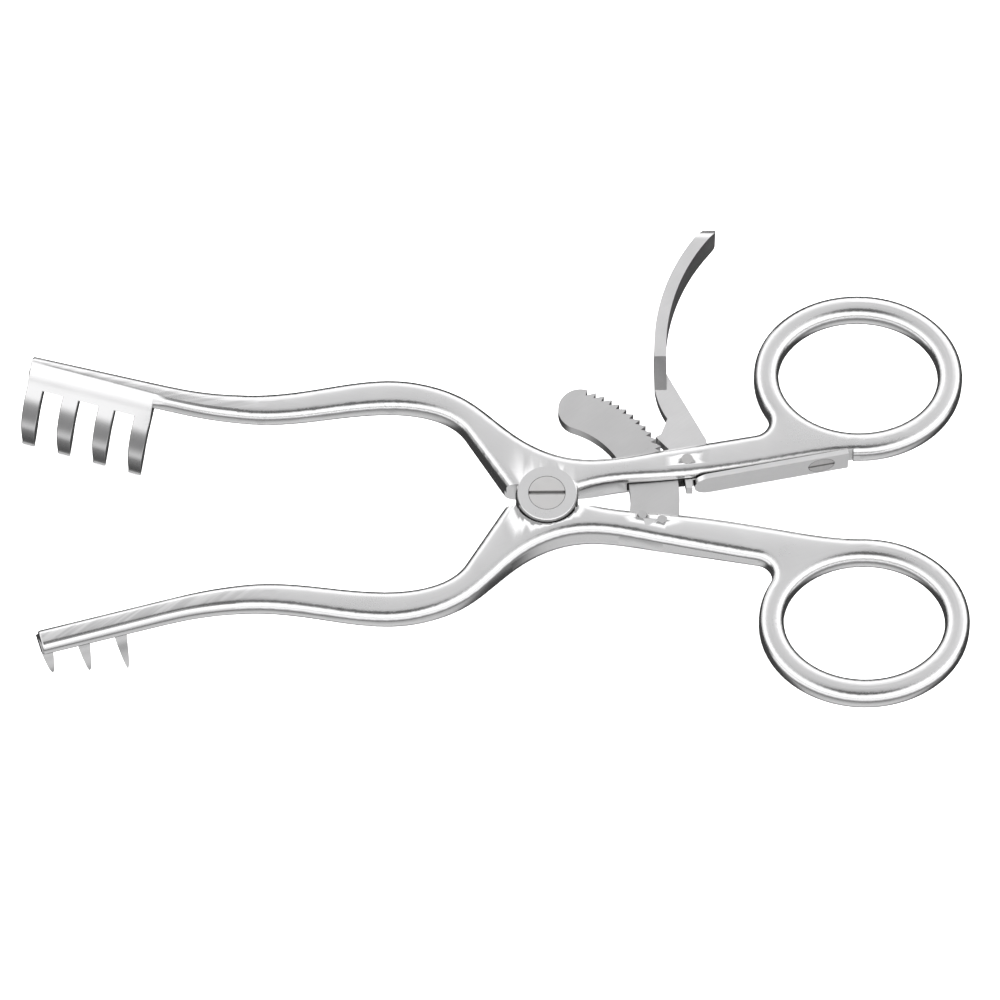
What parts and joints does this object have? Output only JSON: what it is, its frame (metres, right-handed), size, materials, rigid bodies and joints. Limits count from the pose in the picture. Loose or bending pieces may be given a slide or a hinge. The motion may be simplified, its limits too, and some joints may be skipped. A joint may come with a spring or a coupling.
{
  "type": "self retaining retractor",
  "caption": "Hand-held steel retractor: two crossing arms on a lap joint, pronged jaws turned down, finger rings, and a toothed ratchet rack held by a spring-loaded thumb release lever",
  "frame": {"origin": "On the pivot axis of the lap joint, at the joint's flat underside", "axes": "+X runs along the instrument from the joint to the finger rings, +Z is the pivot axis and points out of the face with the screw slot, prongs point to -Z, +Y is the side of the release lever"},
  "size_m": [0.1641, 0.0916, 0.028],
  "materials": {
    "jaw_steel": "satin stainless steel, fine lengthwise grind marks, polished rounded edges",
    "rack_steel": "flat ground stainless steel",
    "lever_steel": "satin stainless steel with bright bends",
    "spring_steel": "polished spring steel strip",
    "screw_steel": "turned stainless steel with circular marks"
  },
  "bodies": {
    "lower_arm": {"three_prong_arm": "jaw_steel", "joint_screw": "screw_steel", "ratchet_rack": "rack_steel", "rack_rivets": "rack_steel"},
    "upper_arm": {"four_prong_arm": "jaw_steel", "lever_pin": "screw_steel", "spring_screw": "screw_steel"},
    "lever": {"release_lever": "lever_steel"},
    "spring": {"leaf_spring": "spring_steel"}
  },
  "joints": [
    {"name": "arm_pivot", "type": "hinge", "parent": "lower_arm", "child": "upper_arm", "pos_m": [0, 0, 0], "axis": [0, 0, 1], "range_deg": [-7, 27]},
    {"name": "lever_release", "type": "hinge", "parent": "upper_arm", "child": "lever", "pos_m": [0.0244, 0.0067, 0.00375], "axis": [0, 0, -1], "range_deg": [0, 12], "stiffness_Nm_per_rad": 0.2, "springref_deg": -5.73},
    {"name": "leaf_flex", "type": "hinge", "parent": "upper_arm", "child": "spring", "pos_m": [0.05, 0.00809, 0.00375], "axis": [0, 0, 1], "range_deg": [0, 1.1]}
  ],
  "couplings": [
    {"joint": "leaf_flex", "follows": "lever_release", "ratio": 0.0875}
  ]
}
